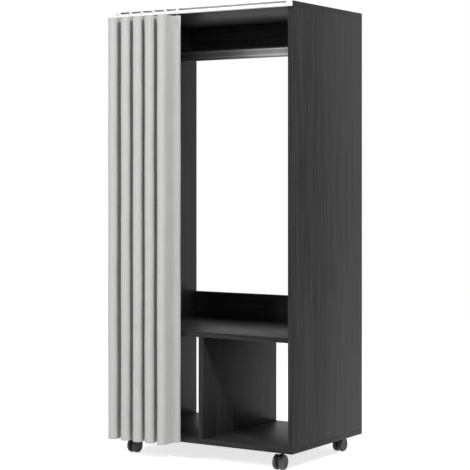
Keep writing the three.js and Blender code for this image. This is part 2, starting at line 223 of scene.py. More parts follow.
def satin_metal(name, value, roughness, along="X", glint_heights=()):
    """Bright drawn metal with faint lines along it, and painted highlight lines at some heights."""
    finish = Finish(name)
    lines = finish.noise(finish.place(drawn_out(along, 0.01)), 1400.0, 3.0)
    smears = finish.noise(finish.place(), 22.0, 3.0)
    finish.set(metallic=1.0)
    colour = finish.mix(lines, grey(value * 0.86), grey(value))
    if glint_heights:
        # Painted highlight: the colour is lighter near each given height, standing in for a
        # reflection of the light there.
        height = finish.add("ShaderNodeSeparateXYZ", {}, {0: finish.place()})["Z"]
        glint_distances = [(height - glint_height).math("ABSOLUTE") for glint_height in glint_heights]
        near = finish.fade(glint_distances[0].math("MINIMUM", *glint_distances[1:]), PAINTED_GLINT, PAINTED_GLINT_END, 1.0, 0.0)
        colour = finish.mix(near, colour, grey(min(value * 1.9, 1.0)))
    finish.set(base_color=colour)
    worn = lines * 0.6 + smears * 0.4
    finish.set(roughness=finish.fade(worn, 0.3, 0.7, roughness * 0.75, roughness * 1.25))
    finish.bump(lines, 0.00003, 0.5)
    return finish.material


def moulded(name, colour, roughness, grain_scale=1800.0, grain_depth=0.00004, scuffs=0.0):
    """Moulded plastic with fine spark grain and slight variation in gloss."""
    finish = Finish(name)
    grain = finish.noise(finish.place(), grain_scale, 2.0)
    cloud = finish.noise(finish.place(), 60.0, 4.0)
    lighter = tuple(min(c * 1.25 + scuffs, 1.0) for c in colour[:3]) + (1.0,)
    finish.set(base_color=finish.mix(finish.fade(cloud, 0.4, 0.7), colour, lighter))
    worn = cloud * 0.5 + grain * 0.5
    finish.set(roughness=finish.fade(worn, 0.3, 0.7, roughness - 0.06, roughness + 0.08))
    finish.bump(grain, grain_depth, 0.5)
    return finish.material


def painted_white():
    """White powder coat on the track's profile."""
    finish = Finish("track_white")
    peel = finish.noise(finish.place(), 900.0, 2.0)
    dust = finish.noise(finish.place((0.2, 1.0, 1.0)), 30.0, 4.0)
    finish.set(base_color=finish.mix(finish.fade(dust, 0.45, 0.75), grey(0.93), grey(0.89, 0.01)))
    finish.set(roughness=finish.fade(peel, 0.3, 0.7, 0.32, 0.42))
    finish.bump(peel, 0.00003, 0.4)
    return finish.material


def woven_cloth():
    """Plain weave in light grey. The UV map is in metres of flat cloth."""
    yarn = 0.00085
    finish = Finish("curtain_cloth")
    flat = finish.add("ShaderNodeTexCoord")["UV"]
    parts = finish.add("ShaderNodeSeparateXYZ", {}, {0: flat})
    across = (parts["X"] * (math.pi / yarn)).math("SINE")
    down = (parts["Y"] * (math.pi / yarn)).math("SINE")
    warp = finish.noise(finish.scaled(flat, drawn_out("Y", 0.02)), 700.0, 2.0)
    weft = finish.noise(finish.scaled(flat, drawn_out("X", 0.02)), 600.0, 2.0)
    cloud = finish.noise(flat, 9.0, 3.0)
    weave = (across * down) * 0.5 + 0.5
    heather = finish.fade(warp * 0.65 + weft * 0.35, 0.38, 0.62)
    tone = heather * 0.6 + weave * 0.25 + cloud * 0.15
    finish.set(base_color=finish.mix(tone, grey(0.430, 0.008), grey(0.540, 0.006)))
    finish.set(roughness=finish.fade(heather, 0.0, 1.0, 0.82, 0.95))
    finish.set(sheen_weight=0.25, sheen_roughness=0.5)
    finish.shader.inputs["Specular IOR Level"].default_value = 0.2
    finish.bump(weave * 0.7 + heather * 0.3, 0.00018, 0.5)
    return finish.material


WOOD_UP = woodgrain("foil_grain_up", "Z")
WOOD_ACROSS = woodgrain("foil_grain_across", "X")
# The back rails get the same foil painted 1.3 times lighter, as painted light for the shade that
# they stand in at the cabinet's back.
WOOD_RAILS_PAINTED_LIGHTER = woodgrain("foil_grain_rails_painted_lighter", "X", 1.3)
rail_low, rail_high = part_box("clothes_rail")
RAIL_MIDDLE = (rail_low.z + rail_high.z) / 2
RAIL_FLAT = (rail_high.z - rail_low.z + rail_low.y - rail_high.y) / 2
# The rail's painted highlight lines, where its flat faces meet its top and bottom rounds.
RAIL_PAINTED_GLINTS = (RAIL_MIDDLE - RAIL_FLAT, RAIL_MIDDLE + RAIL_FLAT)
RAIL_METAL = satin_metal("rail_metal", 0.34, 0.50, "X", RAIL_PAINTED_GLINTS)
SOCKET_METAL = satin_metal("socket_metal", 0.36, 0.34)
ZINC = satin_metal("zinc_steel", 0.55, 0.35, "Z")
BLACK_STEEL = moulded("black_steel", grey(0.02), 0.4)
TRACK_WHITE = painted_white()
WHITE_PLASTIC = moulded("white_plastic", grey(0.82), 0.4)
BLACK_PLASTIC = moulded("black_plastic", grey(0.010), 0.42, scuffs=0.004)
WHEEL_PLASTIC = moulded("wheel_plastic", grey(0.030), 0.5, scuffs=0.01)
CLOTH = woven_cloth()
TAPE = moulded("header_tape", grey(0.62), 0.9, 2600.0, 0.00006)
SEWING_THREAD = moulded("sewing_thread", grey(0.55), 0.8, 4200.0, 0.00006)


# Meshes. The angles, in degrees, above which an edge is shaded or rounded as one, or kept at all
SMOOTH, CORNER, SOFT, ROUND, FLAT = 35.0, 32.0, 40.0, 50.0, 1.0

# Distances that count as none
SAME_POINT, ON_AXIS = 1e-6, 1e-7


def make_piece(name, mesh, material, body=None, replaces=()):
    """Links a finished mesh as a piece with its material, hides the nodes that it replaces, and
    attaches it to its body.
    """
    piece = linked(name, mesh)
    mesh.materials.clear()
    mesh.materials.append(material)
    if replaces:
        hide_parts(*replaces)
    if body:
        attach(piece, body)
    return piece


def smooth(mesh, angle):
    mesh.polygons.foreach_set("use_smooth", [True] * len(mesh.polygons))
    mesh.set_sharp_from_angle(angle=math.radians(angle))


def mesh_from(name, bm, angle=SMOOTH):
    mesh = bpy.data.meshes.new(name)
    bm.to_mesh(mesh)
    bm.free()
    smooth(mesh, angle)
    return mesh


def merged_copy(node):
    """A copy of a node's solid, with its loose triangles merged."""
    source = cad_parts[node].data
    bm = bmesh.new()
    corners = [bm.verts.new(v.co) for v in source.vertices]
    for polygon in source.polygons:
        bm.faces.new([corners[i] for i in polygon.vertices])
    bmesh.ops.remove_doubles(bm, verts=bm.verts, dist=SAME_POINT)
    flat = math.radians(FLAT)
    bmesh.ops.dissolve_limit(bm, angle_limit=flat, verts=bm.verts, edges=bm.edges)
    return bm


# The least lengths of an edge that is rounded and of those beside it, in the rounding's widths
LEAST_EASED, LEAST_BESIDE = 4.0, 2.2


def has_room(edge, width):
    """Whether an edge and all that meet it at its ends are long enough for a rounding."""
    beside = [other for end in edge.verts for other in end.link_edges if other != edge]
    room = all(other.calc_length() > LEAST_BESIDE * width for other in beside)
    return room and edge.calc_length() > LEAST_EASED * width


def eased_copy(node, width, segments=2):
    """A copy of a node's solid with its outward sharp edges rounded where there is room."""
    bm = merged_copy(node)
    bm.normal_update()
    outward = [e for e in bm.edges if e.is_manifold and e.is_convex and has_room(e, width)]
    sharp = [e for e in outward if e.calc_face_angle() > math.radians(CORNER)]
    bmesh.ops.bevel(
        bm, geom=sharp, offset=width, segments=segments, profile=0.5, affect="EDGES",
        clamp_overlap=True,
    )
    return mesh_from(f"{node}_eased", bm, SOFT)


# Carcass
EASED = 0.6 * MM


def make_carcass():
    boards = {
        WOOD_UP: ("left_side_panel", "right_side_panel", "centre_divider"),
        WOOD_ACROSS: ("bottom_panel", "top_panel", "middle_shelf"),
        WOOD_RAILS_PAINTED_LIGHTER: ("middle_back_rail", "upper_back_rail"),
    }
    for finish, nodes in boards.items():
        for node in nodes:
            board = eased_copy(node, EASED)
            make_piece(f"{node}_board", board, finish, "cabinet", [node])


# Shells from loops and profiles
ARC_STEPS = 24
STRAY = 0.005 * MM


def looped_shell(name, loops, angle, capped=False):
    """A closed shell from loops of points: the last loop joins the first, or both are capped."""
    bm = bmesh.new()
    rows = [[bm.verts.new(p) for p in loop] for loop in loops]
    joined = rows if capped else rows + rows[:1]
    for row, following in zip(joined, joined[1:]):
        for i in range(len(row)):
            after = (i + 1) % len(row)
            bm.faces.new((row[i], row[after], following[after], following[i]))
    if capped:
        bm.faces.new(reversed(rows[0]))
        bm.faces.new(rows[-1])
    bmesh.ops.recalc_face_normals(bm, faces=bm.faces)
    return mesh_from(name, bm, angle)


def revolve(name, profile, steps, place=None, angle=CORNER):
    """Turns (radius, height) points about Z. Points on the axis close the shape."""
    bm = bmesh.new()
    rows = []
    for radius, height in profile:
        around = [2 * math.pi * i / steps for i in range(steps)] if radius > ON_AXIS else [0.0]
        points = [(radius * math.cos(t), radius * math.sin(t), height) for t in around]
        rows.append([bm.verts.new(point) for point in points])
    for row, following in zip(rows, rows[1:]):
        for i in range(steps):
            after = (i + 1) % steps
            corners = [row[i % len(row)], row[after % len(row)]]
            corners += [following[after % len(following)], following[i % len(following)]]
            bm.faces.new(dict.fromkeys(corners))
    bmesh.ops.remove_doubles(bm, verts=bm.verts, dist=ON_AXIS)
    bmesh.ops.recalc_face_normals(bm, faces=bm.faces)
    if place:
        bmesh.ops.transform(bm, matrix=place, verts=bm.verts)
    return mesh_from(name, bm, angle)


def plain_mesh(source, name):
    """The evaluated mesh of an object, with its modifiers applied."""
    graph = bpy.context.evaluated_depsgraph_get()
    mesh = bpy.data.meshes.new_from_object(source.evaluated_get(graph), depsgraph=graph)
    mesh.name = name
    return mesh


def combine(name, first, steps, angle=CORNER, bevel=0.0):
    """Joins and cuts a mesh by (operation, mesh) steps, merges stray points and rounds edges."""
    base = linked(first.name, first)
    tools = [linked(other.name, other) for _, other in steps]
    for (operation, _), tool in zip(steps, tools):
        modifier = base.modifiers.new(tool.name, "BOOLEAN")
        modifier.operation = operation
        modifier.solver = "EXACT"
        modifier.object = tool
    base.modifiers.new("merge", "WELD").merge_threshold = STRAY
    if bevel:
        modifier = base.modifiers.new("rounding", "BEVEL")
        modifier.width = bevel
        modifier.segments = 2
        modifier.limit_method = "ANGLE"
        modifier.angle_limit = math.radians(angle)
    mesh = plain_mesh(base, name)
    for thing in (base, *tools):
        bpy.data.objects.remove(thing)
    smooth(mesh, angle)
    return mesh


def bar(name, size, place):
    bm = bmesh.new()
    bmesh.ops.create_cube(bm, size=1.0, matrix=place @ Matrix.Diagonal((*size, 1.0)))
    return mesh_from(name, bm)


# A pan head's rounding and slots, in its radii, and its rim's height as a share of its own
HEAD_ROUND, SLOT_LENGTH, SLOT_WIDTH, HEAD_RIM = 0.3, 1.15, 0.24, 0.35
HEAD_STEPS, HEAD_AROUND = 5, 32


def pan_head(name, radius, height, place):
    """A screw's pan head on its seat, with a cross recess."""
    edge = radius * HEAD_ROUND
    low = height * HEAD_RIM
    profile = [(0.0, 0.0), (radius, 0.0), (radius, low)]
    for i in range(1, HEAD_STEPS + 1):
        turn = math.pi * i / (2 * HEAD_STEPS)
        rise = (height - low) * math.sin(turn)
        profile.append((radius - edge * (1 - math.cos(turn)), low + rise))
    profile.append((0.0, height))
    head = revolve(name, profile, HEAD_AROUND)
    cuts = []
    for turn in (0.0, math.pi / 2):
        spot = Matrix.Translation((0.0, 0.0, height)) @ Matrix.Rotation(turn, 4, "Z")
        slot = bar(f"{name}_slot", (radius * SLOT_LENGTH, radius * SLOT_WIDTH, height), spot)
        cuts.append(("DIFFERENCE", slot))
    head = combine(name, head, cuts)
    head.transform(place)
    return head


# Clothes rail, a flat-oval tube in a socket at each end
TUBE_WALL = 1.5 * MM
TUBE_EASE = 0.35 * MM
SOCKET_FLANGE = 3.0 * MM
SOCKET_RIM = 6.0 * MM
SOCKET_COLLAR = 2.5 * MM
SOCKET_EASE = 0.6 * MM
SOCKET_SCREW = (2.5 * MM, 1.5 * MM)


def oval_loop(x, across, upright, centre):
    """A flat oval with its long side upright, in the plane at this x."""
    radius = across / 2
    straight = upright / 2 - radius
    points = []
    for start, rise in ((0.0, straight), (math.pi, -straight)):
        for i in range(ARC_STEPS + 1):
            turn = start + math.pi * i / ARC_STEPS
            height = centre.z + rise + radius * math.sin(turn)
            points.append((x, centre.y + radius * math.cos(turn), height))
    return points


def make_clothes_rail():
    low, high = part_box("clothes_rail")
    centre = (low + high) / 2
    across, upright = high.y - low.y, high.z - low.z
    steps = [(low.x, 2 * TUBE_WALL), (low.x, 2 * TUBE_EASE), (low.x + TUBE_EASE, 0.0)]
    steps += [(high.x - TUBE_EASE, 0.0), (high.x, 2 * TUBE_EASE), (high.x, 2 * TUBE_WALL)]
    loops = [oval_loop(x, across - less, upright - less, centre) for x, less in steps]
    mesh = looped_shell("clothes_rail_tube", loops, ROUND)
    make_piece("clothes_rail_tube", mesh, RAIL_METAL, "cabinet", ["clothes_rail"])


def make_socket(side):
    node = f"clothes_rail_socket_{side}"
    low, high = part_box(node)
    centre = (low + high) / 2
    wall, mouth, towards = (low.x, high.x, 1.0) if side == "left" else (high.x, low.x, -1.0)
    face = wall + towards * SOCKET_FLANGE
    across, upright = high.y - low.y, high.z - low.z
    collar = 2 * SOCKET_RIM
    bore = collar + 2 * SOCKET_COLLAR
    soft = SOCKET_EASE * towards
    steps = (
        (wall, bore), (wall, 0.0), (face - soft, 0.0), (face, 2 * SOCKET_EASE),
        (face, collar - SOCKET_EASE), (face + soft, collar), (mouth - soft, collar),
        (mouth, collar + 2 * SOCKET_EASE), (mouth, bore - SOCKET_EASE), (mouth - soft, bore),
    )
    loops = [oval_loop(x, across - less, upright - less, centre) for x, less in steps]
    mesh = looped_shell(f"{node}_cup", loops, ROUND)
    make_piece(f"{node}_cup", mesh, SOCKET_METAL, "cabinet", [node])
    rise = (upright - SOCKET_RIM) / 2
    for place, name in ((rise, "upper"), (-rise, "lower")):
        spot = Matrix.Translation((face, centre.y, centre.z + place))
        turn = Matrix.Rotation(math.radians(90.0) * towards, 4, "Y")
        head = pan_head(f"{node}_{name}_screw", *SOCKET_SCREW, spot @ turn)
        make_piece(head.name, head, ZINC, "cabinet")


# Curtain track, its caps, screws and gliders
CLOTH_TOP = top_high.z - 28.0 * MM
FIT = 0.3 * MM
TRACK_EASE = 0.3 * MM
CAP_EASE = 0.9 * MM
GLIDER_EASE = 0.3 * MM
GLIDERS = 7
PLATE_BOTTOM = top_high.z - 11.6 * MM
HOOK_RADIUS = 0.8 * MM
HOOK_BOW = 3.4 * MM
HOOK_END = top_high.z - 33.2 * MM
HOOK_STEPS, HOOK_AROUND = 16, 12
TIP_LENGTH, TIP_RADIUS = 0.8, 0.5

# A reach beyond any piece that is cut
BIG = 0.2


def wire(name, points, radius):
    """A round wire along points in a plane across Y, with rounded ends."""
    ways = [(b - a).normalized() for a, b in zip(points, points[1:])]
    ways = [ways[0]] + [(a + b).normalized() for a, b in zip(ways, ways[1:])] + [ways[-1]]
    places = [(points[0] - ways[0] * radius * TIP_LENGTH, ways[0], radius * TIP_RADIUS)]
    places += [(point, way, radius) for point, way in zip(points, ways)]
    places.append((points[-1] + ways[-1] * radius * TIP_LENGTH, ways[-1], radius * TIP_RADIUS))
    turns = [2 * math.pi * i / HOOK_AROUND for i in range(HOOK_AROUND)]
    loops = []
    for point, way, size in places:
        across = Vector((way.z, 0.0, -way.x))
        rays = [across * math.cos(t) + Vector((0.0, math.sin(t), 0.0)) for t in turns]
        loops.append([point + size * ray for ray in rays])
    return looped_shell(name, loops, SOFT, True)


def glider_mesh(node):
    """A glider with its plate over the slot, and a hook that bows to one side down to the cloth."""
    low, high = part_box(node)
    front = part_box("curtain_track")[0].y - FIT - HOOK_RADIUS
    middle = (low.x + high.x) / 2
    top = PLATE_BOTTOM + HOOK_RADIUS
    fall = top - CLOTH_TOP - HOOK_RADIUS
    points = []
    for i in range(HOOK_STEPS + 1):
        share = i / HOOK_STEPS
        bow = HOOK_BOW * math.sin(math.pi * share)
        points.append(Vector((middle + bow, front, top - fall * share)))
    points.append(Vector((middle, front, HOOK_END)))
    part = Matrix.Translation((middle, front, PLATE_BOTTOM + BIG / 2))
    upper = [("INTERSECT", bar("clip_part", (BIG, BIG, BIG), part))]
    solid = mesh_from(node, merged_copy(node))
    clip = combine(f"{node}_upper", solid, upper, bevel=GLIDER_EASE)
    return combine(f"{node}_clip", clip, [("UNION", wire("hook", points, HOOK_RADIUS))])


def make_track():
    node = "curtain_track"
    track = eased_copy(node, TRACK_EASE)
    make_piece(f"{node}_profile", track, TRACK_WHITE, "cabinet", [node])
    for side in ("left", "right"):
        node = f"track_end_cap_{side}"
        cap = eased_copy(node, CAP_EASE, 3)
        make_piece(f"{node}_shell", cap, WHITE_PLASTIC, "cabinet", [node])
    for i in range(GLIDERS):
        node = f"curtain_glider_{i}"
        body = "cabinet" if i == 0 else f"curtain_{i}"
        clip = glider_mesh(node)
        make_piece(f"{node}_clip", clip, WHITE_PLASTIC, body, [node])
    for node in [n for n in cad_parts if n.startswith("track_screw")]:
        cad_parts[node].material_slots[0].material = ZINC


# Curtain. One cloth, made as six pieces that meet at the gliders' hooks. A fold's section is a
# half valley, a near flank, a round ridge, a far flank and a half valley. Its valleys are tighter
# by the header, where the first and the last hook also hold the cloth's two edges.
CLOTH_LENGTH = CLOTH_TOP - bottom_low.z - 4.0 * MM
CLOTH_FACE = FRONT - 23.2 * MM
CLOTH_HALF = 0.4 * MM
GLIDER_BOXES = [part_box(f"curtain_glider_{i}") for i in range(GLIDERS)]
GLIDER_X = [(low.x + high.x) / 2 for low, high in GLIDER_BOXES]
FOLDS = GLIDERS - 1
FIRST_BEYOND, LEAD_BEYOND = 6.0 * MM, 17.7 * MM
VALLEYS = [GLIDER_X[0] - FIRST_BEYOND] + GLIDER_X[1:-1] + [GLIDER_X[-1] + LEAD_BEYOND]

# How far each fold reaches to the front, where its ridge's middle stands beyond its left valley,
# and the radii of its rounds
REACH = [r * MM for r in (21.8, 70.8, 70.8, 70.8, 70.8, 70.8)]
RIDGE_AT = [r * MM for r in (9.6, 16.2, 22.1, 24.2, 24.8, 27.8)]
RIDGES = [r * MM for r in (6.0, 18.0, 18.0, 18.0, 18.0, 18.0)]
VALLEY = [r * MM for r in (4.0, 15.0, 15.0, 15.0, 15.0, 15.0)]
HEADER_ROUND = 0.8

# The last fold's far flank is bowed, and its edge turns to the front and back in at its side hem.
LEAD_LEAN = math.radians(16.0)
LEAD_BOW = math.radians(12.0)
LEAD_TURNS = (math.radians(55.0), math.radians(-55.0))
LEAD_ROUNDS = (9.0 * MM, 4.0 * MM)
LEAD_CORNER = -LEAD_ROUNDS[1] * LEAD_TURNS[1]
LEAD_HEM = 8.0 * MM

# Where down the cloth the outer hooks' hold on it fades, and the first fold's straight edge there
HOLD = (6.0 * MM, 70.0 * MM)
FIRST_EDGE = (4.0 * MM, 0.6 * MM)

# How the section changes down the cloth, in drops: where its valleys open and its sway starts
OPENING = (0.0, 0.04)
LOOSE = (0.01, 0.30)
SWAY = 0.7 * MM
RIDGE_SWAY = 0.03
WAVE_LENGTH, SHORTER = 0.62, 0.37
LONG_SHARE, SHORT_SHARE = 0.65, 0.35
FOLD_PHASE, SEED_PHASE, SHORT_PHASE = 1.7, 2.9, 2.3

# Header, hems and gathers. The cloth is thinner at its edges, and thicker where it is sewn double.
HEADER_TAPE = 26.0 * MM
SCALLOP = 2.5 * MM
SCALLOP_FADE = 45.0 * MM
HEM = 12.0 * MM
HEM_DROP, HEM_FALL = 3.2 * MM, 0.5
SIDE_HEM = 8.0 * MM
HEM_HALF = 0.45 * MM
HEM_STEP = 0.7 * MM
HEADER_SHARE = 0.6
EDGE_SHARE, EDGE_ROUND = 0.35, 1.2 * MM
GATHER_PITCH = 7.5 * MM
GATHER_DEPTH = 0.9 * MM
GATHER_START = (0.0, 4.0 * MM)
GATHER_FADE = (18.0 * MM, 85.0 * MM)

# What makes the gathers uneven, each (size, rate, phase) of a wave along them
GATHER_SHIFTS = ((1.6, 0.31, 0.8), (0.9, 0.137, 0.0))
GATHER_SIZES = (0.35, 0.211, 2.0)

# The cloth's rows: by its top edge, through its header, down its length and by its hem
TOP_ROWS = (0.0, 0.6 * MM, 1.4 * MM)
HEADER_STEP, HEADER_ROWS = 2.6 * MM, 31
LONG_ROWS, ABOVE_HEM = 110, 2.0 * MM
HEM_ROWS = (12.9, 12.3, 11.7, 11.1, 10.4, 9.6, 8.0, 6.0, 4.0, 2.4, 1.4, 0.8, 0.35, 0.0)


def ease(value, low, high):
    share = min(max((value - low) / (high - low), 0.0), 1.0)
    return share * share * (3 - 2 * share)


def wander(drop, fold, seed):
    """A slow wave down the cloth, different on each fold, between -1 and 1."""
    phase = FOLD_PHASE * fold + SEED_PHASE * seed
    first = math.sin(2 * math.pi * drop / WAVE_LENGTH + phase)
    second = math.sin(2 * math.pi * drop / (SHORTER * WAVE_LENGTH) + SHORT_PHASE * phase)
    return LONG_SHARE * first + SHORT_SHARE * second


def flank(across, reach, rounds):
    """The lean and length of a flank, the line that touches its valley's round and its ridge's."""
    spare = reach - rounds
    lean = math.acos(rounds / math.hypot(across, spare)) - math.atan2(spare, across)
    return lean, math.sqrt(across**2 + reach**2 - 2 * reach * rounds)


def fold_runs(width, reach, ridge_at, ridge, valley):
    """The runs of a section, each (length, turn)."""
    near, near_length = flank(ridge_at, reach, ridge + valley)
    far, far_length = flank(width - ridge_at, reach, ridge + valley)
    first, last = math.pi / 2 - near, math.pi / 2 - far
    return [
        (valley * first, first), (near_length, 0.0), (ridge * (first + last), -(first + last)),
        (far_length, 0.0), (valley * last, last),
    ]


def first_runs(width, reach, ridge_at, ridge, valley, free):
    """The first fold's runs, after a straight edge that is longer where the hook holds it."""
    edge = FIRST_EDGE[0] + (FIRST_EDGE[1] - FIRST_EDGE[0]) * free
    return [(edge, 0.0)] + fold_runs(width - edge, reach, ridge_at - edge, ridge, valley)


def lead_runs(width, reach, ridge_at, ridge, valley, free):
    """The last fold's runs, with the two lengths that bring its edge to the hooks' plane.

    Where it is held, its far flank comes back to the hook and its edge lies flat beyond it.
    """
    near, near_length = flank(ridge_at, reach, ridge + valley)
    held = flank(width - LEAD_BEYOND - ridge_at, reach, ridge + LEAD_ROUNDS[0])[0]
    lean = held + (LEAD_LEAN - held) * free
    turn = (math.pi / 2 - held) * (1 - free) + LEAD_TURNS[0] * free
    bow, back = LEAD_BOW * free, LEAD_TURNS[1] * free
    first, last = math.pi / 2 - near, math.pi / 2 - lean

    def runs(far, bridge):
        return [
            (valley * first, first), (near_length, 0.0), (ridge * (first + last), -(first + last)),
            (far, -bow), (far, bow), (LEAD_ROUNDS[0] * turn, turn),
            (bridge, 0.0), (LEAD_CORNER, back), (LEAD_HEM, 0.0),
        ]

    def reached(far, bridge):
        return trace(runs(far, bridge), [[1.0]] * len(LEAD_COLUMNS))[-1, :2]

    start = reached(0.0, 0.0)
    ways = np.column_stack((reached(1.0, 0.0) - start, reached(0.0, 1.0) - start))
    return runs(*np.linalg.solve(ways, np.array((width, 0.0)) - start))


# A turn that counts as none
STRAIGHT = 1e-9


def move(x, y, heading, length, turn):
    if abs(turn) < STRAIGHT:
        return x + length * math.cos(heading), y + length * math.sin(heading)
    radius, after = length / turn, heading + turn
    across = radius * (math.sin(after) - math.sin(heading))
    return x + across, y + radius * (math.cos(heading) - math.cos(after))


def trace(runs, columns):
    """Points along the runs, as (x, distance to the front, heading, length so far)."""
    points = [(0.0, 0.0, 0.0, 0.0)]
    for (length, turn), shares in zip(runs, columns):
        x, y, heading, done = points[-1]
        for share in shares:
            place = move(x, y, heading, length * share, turn * share)
            points.append((*place, heading + turn * share, done + length * share))
    return np.array(points)


def even(count):
    return [(i + 1) / count for i in range(count)]


# Where each run of a section is cut, as shares of it
COLUMNS = [even(14), even(22), even(40), even(22), even(14)]
FIRST_COLUMNS = [even(3)] + COLUMNS
LEAD_COLUMNS = COLUMNS[:3] + [even(12), even(12), even(10), even(2), even(8)]
LEAD_COLUMNS.append(even(6)[:4] + [0.75, 0.82, 0.88, 0.94, 1.0])


def section(fold, drop):
    """Points across a fold at this drop: x, y, heading and the length along the cloth."""
    loose = ease(drop, *LOOSE)
    full = ease(drop, *OPENING)
    rounds = HEADER_ROUND + (1 - HEADER_ROUND) * full
    start = VALLEYS[fold] + SWAY * loose * wander(drop, fold, 4)
    end = VALLEYS[fold + 1] + SWAY * loose * wander(drop, fold + 1, 4)
    ridge_at = RIDGE_AT[fold] + SWAY * loose * wander(drop, fold, 1)
    ridge = RIDGES[fold] * (1.0 + RIDGE_SWAY * loose * wander(drop, fold, 2))
    reach = REACH[fold] + SWAY * loose * wander(drop, fold, 3)
    free = ease(drop, *HOLD)
    shape = (end - start, reach, ridge_at, ridge, VALLEY[fold] * rounds)
    if fold == 0:
        points = trace(first_runs(*shape, free), FIRST_COLUMNS)
    elif fold == FOLDS - 1:
        points = trace(lead_runs(*shape, free), LEAD_COLUMNS)
    else:
        points = trace(fold_runs(*shape), COLUMNS)
    points[:, 0] += start
    points[:, 1] = CLOTH_FACE - points[:, 1]
    return points


CLOTH_START = [0.0]
for number in range(FOLDS):
    CLOTH_START.append(CLOTH_START[-1] + section(number, CLOTH_LENGTH / 2)[-1, 3])


def cloth_drops():
    """The rows of the cloth, close together at its header and its hem."""
    drops = [*TOP_ROWS] + [HEADER_STEP * (i + 1) for i in range(HEADER_ROWS)]
    low = CLOTH_LENGTH - HEM - ABOVE_HEM
    first = drops[-1]
    drops += [first + (low - first) * (i + 1) / LONG_ROWS for i in range(LONG_ROWS)]
    return drops + [CLOTH_LENGTH - n * MM for n in HEM_ROWS]


def flat_run(fold, along):
    """The places of a row's points across the whole cloth laid flat."""
    start, end = CLOTH_START[fold], CLOTH_START[fold + 1]
    return start + along * (end - start) / along[-1]


def flat_places(fold, drop):
    along = section(fold, drop)[:, 3]
    return np.column_stack((flat_run(fold, along), np.full(len(along), -drop)))


def gather(along, drop):
    """The small pleats that the tape draws in, fading out below the header."""
    depth = GATHER_DEPTH * ease(drop, *GATHER_START) * (1 - ease(drop, *GATHER_FADE))
    turn = 2 * np.pi * along / GATHER_PITCH
    uneven = sum(size * np.sin(turn * rate + phase) for size, rate, phase in GATHER_SHIFTS)
    size, rate, phase = GATHER_SIZES
    fade = 1 - size + size * np.sin(turn * rate + phase)
    return depth * fade * np.sin(turn + uneven)


def from_edge(fold, along):
    """Each point's distance from the cloth's side edge, or a metre on the folds between."""
    if fold == 0:
        return along
    return along[-1] - along if fold == FOLDS - 1 else np.ones_like(along)


def cloth_half(fold, along, drop):
    """Half of the cloth's thickness, with its hems and the dimple of their seams."""
    hem = ease(drop, CLOTH_LENGTH - HEM - HEM_STEP, CLOTH_LENGTH - HEM)
    near_edge = from_edge(fold, along)
    side = np.clip((SIDE_HEM + HEM_STEP - near_edge) / HEM_STEP, 0.0, 1.0)
    top = 1 - ease(drop, HEADER_TAPE, HEADER_TAPE + HEM_STEP)
    layers = np.maximum(np.maximum(side, hem), HEADER_SHARE * top)
    edge = min(drop, CLOTH_LENGTH - drop)
    rounding = EDGE_SHARE + (1 - EDGE_SHARE) * math.sqrt(min(edge / EDGE_ROUND, 1.0))
    ends = EDGE_SHARE + (1 - EDGE_SHARE) * np.sqrt(np.clip(near_edge / EDGE_ROUND, 0.0, 1.0))
    return (CLOTH_HALF + HEM_HALF * layers) * rounding * ends


def cloth_side(fold, drop, side, beyond=0.0):
    """Points on the cloth's front (side 1) or back (side -1), or at a distance beyond it."""
    points = section(fold, drop)
    along = points[:, 3]
    lift = gather(flat_run(fold, along), drop)
    lift = lift + side * (cloth_half(fold, along, drop) + beyond)
    outward = np.stack((-np.sin(points[:, 2]), -np.cos(points[:, 2])), axis=1)
    place = points[:, :2] + outward * lift[:, None]
    behind = 1 - np.clip((CLOTH_FACE - points[:, 1]) / REACH[fold], 0.0, 1.0)
    dip = SCALLOP * behind * (1 - ease(drop, 0.0, SCALLOP_FADE))
    if fold == FOLDS - 1:
        dip = dip * (1 - along / along[-1])
    dip = dip + HEM_DROP * (1 - behind) * ease(drop, CLOTH_LENGTH - HEM_FALL, CLOTH_LENGTH)
    return np.column_stack((place, CLOTH_TOP - drop - dip)), along


def grid_shell(name, front, back, flat):
    """A closed sheet from its front and back grids, with a UV map in metres of flat cloth."""
    rows, columns = front.shape[:2]
    count = rows * columns
    index = np.arange(count).reshape(rows, columns)
    a, b, c, d = index[:-1, :-1], index[:-1, 1:], index[1:, 1:], index[1:, :-1]
    outer = np.stack((a, d, c, b), axis=-1).reshape(-1, 4)
    inner = np.stack((a, b, c, d), axis=-1).reshape(-1, 4) + count
    rim = np.concatenate((index[0, :], index[1:, -1], index[-1, -2::-1], index[-2:0:-1, 0]))
    after = np.roll(rim, -1)
    edge = np.stack((rim, after, after + count, rim + count), axis=-1)
    faces = np.concatenate((outer, inner, edge))
    mesh = bpy.data.meshes.new(name)
    points = np.concatenate((front.reshape(-1, 3), back.reshape(-1, 3)))
    mesh.from_pydata(points.tolist(), [], faces.tolist())
    layer = mesh.uv_layers.new(name="flat_cloth")
    places = np.tile(flat.reshape(-1, 2), (2, 1))
    corners = np.empty(len(mesh.loops), dtype=np.int32)
    mesh.loops.foreach_get("vertex_index", corners)
    layer.uv.foreach_set("vector", places[corners].astype(np.float32).ravel())
    smooth(mesh, ROUND)
    return mesh


def layer_mesh(name, fold, drops, *faces):
    """A closed sheet between two faces by the cloth, each (side, distance beyond it)."""
    grids = [np.array([cloth_side(fold, drop, *face)[0] for drop in drops]) for face in faces]
    flat = [flat_places(fold, drop) for drop in drops]
    return grid_shell(name, *grids, np.array(flat))


def hang(mesh, material, replaces=()):
    """Makes a piece of the curtain, hides the nodes that it replaces, and bakes its place into its
    mesh.
    """
    piece = make_piece(mesh.name, mesh, material, None, replaces)
    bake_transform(piece)
    return piece


def make_fold(fold, tree):
    node = f"curtain_fold_{fold + 1}"
    mesh = layer_mesh(f"{node}_cloth", fold, cloth_drops(), (1.0, 0.0), (-1.0, 0.0))
    piece = hang(mesh, CLOTH, [node])
    width = section(fold, CLOTH_LENGTH / 2)[-1, 3]
    sewn = [make_tape(fold), make_stitches(fold, tree)]


